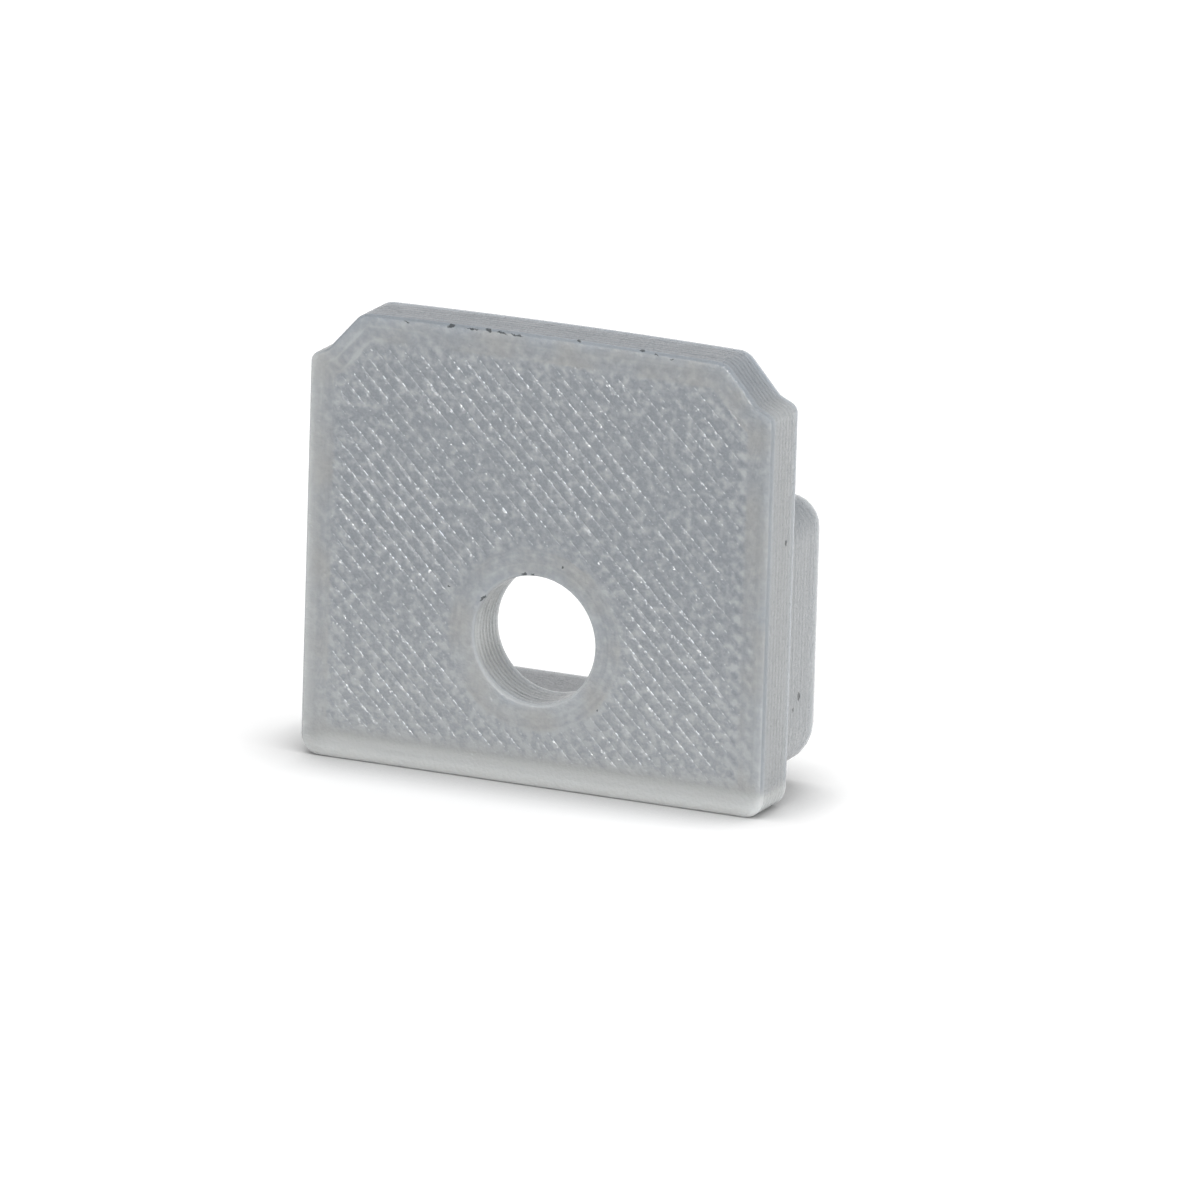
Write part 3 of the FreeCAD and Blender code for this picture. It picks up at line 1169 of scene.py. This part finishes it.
    def build(self) -> bpy.types.Object:
        """Build the whole cap as one closed mesh.

        Returns:
            The piece, in the part's frame.
        """
        self.faces(self.walls())
        piece = self.draft.to_object("printed_cap", self.front)
        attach(piece, "root")
        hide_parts("end_cap")
        return piece


def linear(code: str) -> tuple[float, float, float, float]:
    """Turn an sRGB colour into a linear one.

    Args:
        code: the colour's hex code, such as #8A8F94.

    Returns:
        Linear red, green, blue and alpha.
    """
    parts = [int(code[i : i + 2], 16) / 255 for i in (1, 3, 5)]
    red, green, blue = (p / 12.92 if p <= 0.04045 else ((p + 0.055) / 1.055) ** 2.4 for p in parts)
    return red, green, blue, 1.0


def add_node(tree: bpy.types.NodeTree, kind: str, inputs: dict | None = None, **settings: Any) -> Any:
    """Add a node with its settings and links.

    Args:
        tree: the material's or the world's node tree.
        kind: the node's type name.
        inputs: value or linked socket for each input, by name or number.
        settings: properties of the node.

    Returns:
        The new node.
    """
    node = tree.nodes.new(kind)
    for name, value in settings.items():
        setattr(node, name, value)
    for name, value in (inputs or {}).items():
        if isinstance(value, bpy.types.NodeSocket):
            tree.links.new(value, node.inputs[name])
        else:
            node.inputs[name].default_value = value
    return node


def spots_per_metre(size: float) -> float:
    """Return the scale at which a noise has spots of a size in millimetres."""
    return 1.0 / (size * MM)


@dataclass(frozen=True)
class Speck:
    """A dark grain of charred plastic: its centre and size in millimetres, and its slope in degrees."""

    x: float
    depth: float
    z: float
    length: float
    height: float
    slope: float = 0.0


SPECKS = (
    Speck(-4.98, 0.03, 15.40, 0.24, 0.06, -20.0),
    Speck(-3.36, 0.02, 15.47, 0.32, 0.13, 20.0),
    Speck(-2.60, 0.02, 15.47, 0.50, 0.05),
    Speck(-1.98, 0.02, 15.51, 0.26, 0.11, -25.0),
    Speck(-1.50, 0.02, 15.48, 0.40, 0.09, -8.0),
    Speck(-0.95, 0.02, 15.46, 0.50, 0.06, -4.0),
    Speck(1.28, 0.05, 15.56, 0.24, 0.07, -30.0),
    Speck(3.62, 0.03, 15.52, 0.22, 0.08),
    Speck(4.15, 0.02, 15.45, 0.16, 0.05, -20.0),
    Speck(4.70, 0.02, 15.36, 0.14, 0.05),
    Speck(-0.43, 0.04, 7.30, 0.22, 0.10, 15.0),
    Speck(-0.13, 0.04, 7.31, 0.20, 0.09, 30.0),
    Speck(-1.93, 0.04, 6.26, 0.34, 0.09, 50.0),
    Speck(-1.94, 0.90, 4.82, 0.10, 0.09),
    Speck(0.98, 0.00, 7.71, 0.09, 0.08),
    Speck(2.38, 0.00, 2.95, 0.08, 0.08),
    Speck(-3.17, 0.00, 6.52, 0.09, 0.07),
    Speck(8.50, 1.29, 9.28, 0.17, 0.26),
    Speck(8.00, 3.96, 3.30, 0.26, 0.34),
    Speck(8.00, 3.49, 2.93, 0.18, 0.20),
)


class Mottle(NamedTuple):
    """A spotty pattern: the size of its spots, its finer detail, and how noise is turned into strength.

    Noise at the low level gives the least strength, and noise at the high level gives the most.
    """

    size: float
    detail: float
    low: float
    high: float
    least: float
    most: float


@dataclass(frozen=True)
class TranslucentFilament:
    """Natural PETG, printed: a milky, slightly blue grey that light enters, with a soft shine."""

    body: str = "#8A8F94"
    clouded: str = "#AAADAF"
    shaded: str = "#747A80"
    warm: str = "#9F9D98"
    # Colours of the painted light at the edges: side where it is weak, edge where it is strong
    side: str = "#A5A6A5"
    edge: str = "#CED1D1"
    glint_colour: str = "#E6EBEF"
    char: str = "#33383B"
    ior: float = 1.57
    roughness: float = 0.13
    # How far light wanders in the plastic, in millimetres, and how that differs for red, green and blue
    light_reach: float = 1.2
    light_colour: tuple[float, float, float] = (1.0, 1.05, 1.1)
    # Tiny bubbles in the beads cloud the plastic in soft spots of about a third of a millimetre.
    clouds: Mottle = Mottle(0.33, 1.0, 0.44, 0.75, 0.0, 0.85)
    # Finer speckles of a tenth of a millimetre lie over the clouds.
    speckles: Mottle = Mottle(0.11, 1.0, 0.3, 0.7, -0.15, 0.15)
    # The beads along an edge are a little yellower, in patches of a millimetre or two.
    yellowing: Mottle = Mottle(1.5, 1.0, 0.42, 0.7, 0.0, 0.4)
    # Glints along the furrows between the fill beads are painted as white dots of a tenth of a millimetre.
    painted_glints: Mottle = Mottle(0.11, 0.0, 0.58, 0.68, 0.0, 1.0)
    # Ripples of a tenth of a millimetre break the shine along the furrows into sparks.
    ripple_size: float = 0.12
    ripple_height: float = 0.03
    # Painted light at an edge gets paler from this edge light on, and hides the plastic's own tone by edge
    # light times gain.
    lit_from: float = 0.27
    lit_gain: float = 2.0
    # Specks have ragged outlines, and let a little of the plastic through.
    rag_size: float = 0.09
    rag_shift: float = 0.12
    speck_outside: float = 1.1
    speck_inside: float = 0.7
    speck_strength: float = 0.9

    def material(self, front: float) -> bpy.types.Material:
        """Make the material.

        Args:
            front: y of the part's front face, in millimetres.

        Returns:
            The plastic, with its clouding, its lighter edges, its specks and its fine surface.
        """
        material = bpy.data.materials.new("printed_petg")
        material.use_nodes = True
        tree = material.node_tree
        tree.nodes.clear()
        place = add_node(tree, "ShaderNodeTexCoord").outputs["Object"]
        ripples = {"Vector": place, "Scale": spots_per_metre(self.ripple_size), "Detail": 1.0}
        grain = add_node(tree, "ShaderNodeTexNoise", ripples).outputs["Fac"]
        bump = add_node(tree, "ShaderNodeBump", {"Height": grain, "Distance": self.ripple_height * MM})
        shader = add_node(
            tree,
            "ShaderNodeBsdfPrincipled",
            {
                "Base Color": self.colour(tree, place, front),
                "Roughness": self.roughness,
                "IOR": self.ior,
                "Subsurface Weight": 1.0,
                "Subsurface Radius": self.light_colour,
                "Subsurface Scale": self.light_reach * MM,
                "Normal": bump.outputs[0],
            },
        )
        add_node(tree, "ShaderNodeOutputMaterial", {"Surface": shader.outputs[0]})
        return material

    def colour(self, tree: bpy.types.NodeTree, place: Any, front: float) -> Any:
        """Return a socket with the plastic's colour at each place.

        Args:
            tree: the material's node tree.
            place: socket with the place in the part's frame, in metres.
            front: y of the part's front face, in millimetres.

        Returns:
            The colour: the milky tone with its painted light and shade, and over it the yellowing, the
                painted edge light, the painted glints and the specks.
        """
        cloud, pale, warm, rim, furrow = (
            add_node(tree, "ShaderNodeAttribute", attribute_name=name).outputs["Fac"]
            for name in ("cloud", "pale", "warm", "rim", "furrow")
        )
        fine = {0: self.mottled(tree, place, self.clouds), 1: self.mottled(tree, place, self.speckles)}
        spots = add_node(tree, "ShaderNodeMath", fine, operation="ADD").outputs[0]
        tone = add_node(tree, "ShaderNodeMath", {0: spots, 1: cloud, 2: pale}, operation="MULTIPLY_ADD")
        share = add_node(tree, "ShaderNodeMapRange", {"Value": tone.outputs[0], "From Min": -1.0})
        milk = add_node(tree, "ShaderNodeValToRGB", {"Fac": share.outputs[0]})
        milk.color_ramp.elements[0].color = linear(self.shaded)
        milk.color_ramp.elements[1].color = linear(self.clouded)
        milk.color_ramp.elements.new(0.5).color = linear(self.body)
        # Painted light at the edges, from the side colour to the edge colour
        lit = add_node(tree, "ShaderNodeValToRGB", {"Fac": rim})
        lit.color_ramp.elements[0].position = self.lit_from
        lit.color_ramp.elements[0].color = linear(self.side)
        lit.color_ramp.elements[1].color = linear(self.edge)
        # Over the colour go the yellowing, the painted edge light, the painted glints in the furrows and the
        # specks
        products = (
            (self.mottled(tree, place, self.yellowing), warm, linear(self.warm)),
            (rim, self.lit_gain, lit.outputs[0]),
            (self.mottled(tree, place, self.painted_glints), furrow, linear(self.glint_colour)),
            (self.char_mask(tree, place, front), 1.0, linear(self.char)),
        )
        colour = milk.outputs[0]
        for strength, factor, paint in products:
            cover = add_node(
                tree, "ShaderNodeMath", {0: strength, 1: factor}, operation="MULTIPLY", use_clamp=True
            )
            layer = {MIX_SHARE: cover.outputs[0], MIX_UNDER: colour, MIX_OVER: paint}
            colour = add_node(tree, "ShaderNodeMix", layer, data_type="RGBA").outputs[MIX_RESULT]
        return colour

    @staticmethod
    def mottled(tree: bpy.types.NodeTree, place: Any, mottle: Mottle) -> Any:
        """Return a socket with the strength of a spotty pattern.

        Args:
            tree: the material's node tree.
            place: socket with the place in the part's frame, in metres.
            mottle: the pattern.

        Returns:
            The strength at each place.
        """
        scale = spots_per_metre(mottle.size)
        spots = {"Vector": place, "Scale": scale, "Detail": mottle.detail}
        found = add_node(tree, "ShaderNodeTexNoise", spots).outputs["Fac"]
        levels = {"Value": found, "From Min": mottle.low, "From Max": mottle.high}
        strengths = {"To Min": mottle.least, "To Max": mottle.most}
        return add_node(tree, "ShaderNodeMapRange", {**levels, **strengths}).outputs[0]

    def char_mask(self, tree: bpy.types.NodeTree, place: Any, front: float) -> Any:
        """Return a socket that shows the dark specks.

        Args:
            tree: the material's node tree.
            place: socket with the place in the part's frame, in metres.
            front: y of the part's front face, in millimetres.

        Returns:
            The mask, 0 off the specks and its full strength within them.
        """
        rags = {"Vector": place, "Scale": spots_per_metre(self.rag_size), "Detail": 1.0}
        ragged = add_node(tree, "ShaderNodeTexNoise", rags).outputs["Color"]
        centred = {0: ragged, 1: (-0.5, -0.5, -0.5)}
        shift = add_node(tree, "ShaderNodeVectorMath", centred, operation="ADD").outputs[0]
        shifted = {0: shift, 1: (self.rag_shift * MM,) * 3, 2: place}
        bent = add_node(tree, "ShaderNodeVectorMath", shifted, operation="MULTIPLY_ADD").outputs[0]
        total: Any = 0.0
        for speck in SPECKS:
            size = Vector((speck.length, speck.length, speck.height)) * MM / 2
            spot = {
                "Vector": bent,
                "Location": Vector((speck.x, front + speck.depth, speck.z)) * MM,
                "Rotation": (0.0, -math.radians(speck.slope), 0.0),
                "Scale": size,
            }
            own = add_node(tree, "ShaderNodeMapping", spot, vector_type="TEXTURE")
            away = add_node(tree, "ShaderNodeVectorMath", {0: own.outputs[0]}, operation="LENGTH")
            levels = {"Value": away.outputs["Value"], "To Max": self.speck_strength}
            levels |= {"From Min": self.speck_outside, "From Max": self.speck_inside}
            mask = add_node(tree, "ShaderNodeMapRange", levels).outputs[0]
            total = add_node(tree, "ShaderNodeMath", {0: total, 1: mask}, operation="MAXIMUM").outputs[0]
        return total


@dataclass(frozen=True)
class Lamp:
    """A soft box: angles in degrees, its distance from the cap and its size in millimetres, its power."""

    name: str
    azimuth: float
    elevation: float
    distance: float
    width: float
    length: float
    lean: float
    watts: float


@dataclass
class Studio:
    """Pale floor, white surroundings and soft boxes."""

    floor_size: float = 4000.0
    floor_colour: str = "#F2F2F2"
    # Grey of the painted contact shadow close under the cap
    contact_shadow_colour: str = "#C4C4C4"
    floor_lift: float = 0.30
    contact_shade: float = 0.4
    contact_reach: float = 3.0
    contact_samples: int = 8
    surroundings: float = 1.08
    from_right: float = 0.56
    less_above: float = 0.2
    lamps: tuple[Lamp, ...] = (Lamp("front_strip", 3.7, 11.4, 2000.0, 175.0, 700.0, -45.0, 9.0),)

    @staticmethod
    def background_rays(tree: bpy.types.NodeTree) -> Any:
        """Tell which rays show the background.

        Args:
            tree: the node tree of the world or of the floor's material.

        Returns:
            A socket that is 1 for rays that are seen, mirrored or let through.
        """
        path = add_node(tree, "ShaderNodeLightPath")
        share = path.outputs["Is Camera Ray"]
        for other in ("Is Glossy Ray", "Is Transmission Ray"):
            either = {0: share, 1: path.outputs[other]}
            share = add_node(tree, "ShaderNodeMath", either, operation="MAXIMUM").outputs[0]
        return share

    def build_world(self) -> None:
        """Make the surroundings: pure white behind the cap, and as a light brighter from the right."""
        world = bpy.data.worlds.new("white_room")
        world.use_nodes = True
        tree = world.node_tree
        tree.nodes.clear()
        white = linear("#FFFFFF")
        way = add_node(tree, "ShaderNodeTexCoord").outputs["Generated"]
        slope = (self.from_right, 0.0, -self.less_above)
        lean = add_node(tree, "ShaderNodeVectorMath", {0: way, 1: slope}, operation="DOT_PRODUCT")
        sum_of = {0: lean.outputs["Value"], 1: self.surroundings}
        power = add_node(tree, "ShaderNodeMath", sum_of, operation="ADD")
        light = add_node(tree, "ShaderNodeBackground", {"Color": white, "Strength": power.outputs[0]})
        shown = add_node(tree, "ShaderNodeBackground", {"Color": white, "Strength": 1.0})
        either = {0: self.background_rays(tree), 1: light.outputs[0], 2: shown.outputs[0]}
        mix = add_node(tree, "ShaderNodeMixShader", either)
        add_node(tree, "ShaderNodeOutputWorld", {"Surface": mix.outputs[0]})
        bpy.context.scene.world = world

    def build_floor(self) -> None:
        """Make the pale floor, which shows white and keeps the cap's shadow, with a painted contact shadow
        close under the cap.
        """
        half = self.floor_size * MM / 2
        corners = [(-half, -half, 0), (half, -half, 0), (half, half, 0), (-half, half, 0)]
        mesh = bpy.data.meshes.new("floor")
        mesh.from_pydata(corners, [], [(0, 1, 2, 3)])
        mesh.materials.append(self.floor_card())
        floor = bpy.data.objects.new("floor", mesh)
        bpy.context.scene.collection.objects.link(floor)

    def floor_card(self) -> bpy.types.Material:
        """Make the floor's matt card.

        Returns:
            The material. Close under the cap the card is painted grey as a contact shadow, and the lift that
            turns the pale card white stops there, so that the cap's shadow keeps its core.
        """
        material = bpy.data.materials.new("matt_white_card")
        material.use_nodes = True
        tree = material.node_tree
        tree.nodes.clear()
        # Painted contact shadow: where the cap shuts out the surroundings, the card turns grey and loses its
        # lift
        reach = {"Distance": self.contact_reach * MM}
        contact = add_node(tree, "ShaderNodeAmbientOcclusion", reach, samples=self.contact_samples)
        levels = {"Value": contact.outputs["AO"], "From Min": self.contact_shade}
        unshadowed = add_node(tree, "ShaderNodeMapRange", levels).outputs[0]
        tones = {MIX_SHARE: unshadowed, MIX_UNDER: linear(self.contact_shadow_colour), MIX_OVER: linear(self.floor_colour)}
        tone = add_node(tree, "ShaderNodeMix", tones, data_type="RGBA").outputs[MIX_RESULT]
        card = add_node(tree, "ShaderNodeBsdfDiffuse", {"Color": tone})
        shown = {0: self.background_rays(tree), 1: self.floor_lift}
        share = add_node(tree, "ShaderNodeMath", shown, operation="MULTIPLY").outputs[0]
        lift = add_node(tree, "ShaderNodeMath", {0: share, 1: unshadowed}, operation="MULTIPLY").outputs[0]
        glow = add_node(tree, "ShaderNodeEmission", {"Strength": lift})
        total = add_node(tree, "ShaderNodeAddShader", {0: card.outputs[0], 1: glow.outputs[0]})
        add_node(tree, "ShaderNodeOutputMaterial", {"Surface": total.outputs[0]})
        return material

    def build_lamps(self, target: Vector) -> None:
        """Make the soft boxes, each turned to the cap.

        Args:
            target: the cap's middle, in metres.
        """
        for lamp in self.lamps:
            light = bpy.data.lights.new(lamp.name, "AREA")
            light.shape = "ELLIPSE"
            light.size = lamp.width * MM
            light.size_y = lamp.length * MM
            light.energy = lamp.watts
            box = bpy.data.objects.new(lamp.name, light)
            away = direction(lamp.azimuth, lamp.elevation)
            box.location = target + away * lamp.distance * MM
            box.rotation_mode = "QUATERNION"
            lean = Quaternion((0.0, 0.0, 1.0), math.radians(lamp.lean))
            box.rotation_quaternion = away.to_track_quat("Z", "Y") @ lean
            bpy.context.scene.collection.objects.link(box)

    def build(self) -> None:
        """Make the world, the floor and the lamps, and set how colours are shown."""
        self.build_world()
        self.build_floor()
        low, high = CAD_BOX
        self.build_lamps((low + high) / 2)
        bpy.context.scene.view_settings.view_transform = "Standard"


def direction(azimuth: float, elevation: float) -> Vector:
    """Return the way from the cap to a viewer; azimuth 0 is in front and 90 at the right, in degrees."""
    a, e = math.radians(azimuth), math.radians(elevation)
    return Vector((math.sin(a) * math.cos(e), -math.cos(a) * math.cos(e), math.sin(e)))


@dataclass(frozen=True)
class PhotoCamera:
    """Camera at the photograph's angle, worked out from the cap's edges in it."""

    azimuth: float = 23.8
    elevation: float = 14.8
    roll: float = 1.72
    distance: float = 781.0
    frame_width: float = 40.11
    aim_right: float = 2.166
    aim_up: float = 1.426
    sensor: float = 36.0

    def build(self, cap: PrintedCap) -> None:
        """Make the camera and hand it to the scene.

        Args:
            cap: the cap, whose hole the camera's aim is measured from.
        """
        back = direction(self.azimuth, self.elevation)
        right = Vector((0.0, 0.0, 1.0)).cross(back).normalized()
        up = back.cross(right)
        hole = Vector((0.0, cap.front, cap.hole_height))
        aim = hole + right * self.aim_right + up * self.aim_up
        angle = math.radians(self.roll)
        across = right * math.cos(angle) + up * math.sin(angle)
        upward = up * math.cos(angle) - right * math.sin(angle)
        data = bpy.data.cameras.new("photo_camera")
        data.sensor_width = self.sensor
        data.lens = self.sensor * self.distance / self.frame_width
        camera = bpy.data.objects.new("photo_camera", data)
        turn = Matrix((across, upward, back)).transposed().to_4x4()
        camera.matrix_world = Matrix.Translation((aim + back * self.distance) * MM) @ turn
        bpy.context.scene.collection.objects.link(camera)
        bpy.context.scene.camera = camera


def main() -> None:
    """Build the cap, dress it and set up the studio and the camera."""
    logging.basicConfig(level=logging.INFO, format="%(name)s: %(message)s")
    cap = PrintedCap()
    PhotoCamera().build(cap)
    LOG.info("camera placed")
    piece = cap.build()
    piece.data.materials.append(TranslucentFilament().material(cap.front))
    triangles = sum(len(face.vertices) - 2 for face in piece.data.polygons)
    LOG.info("%s: %d points, %d triangles", piece.name, len(piece.data.vertices), triangles)
    Studio().build()
    LOG.info("studio built")


if __name__ == "__main__":
    main()
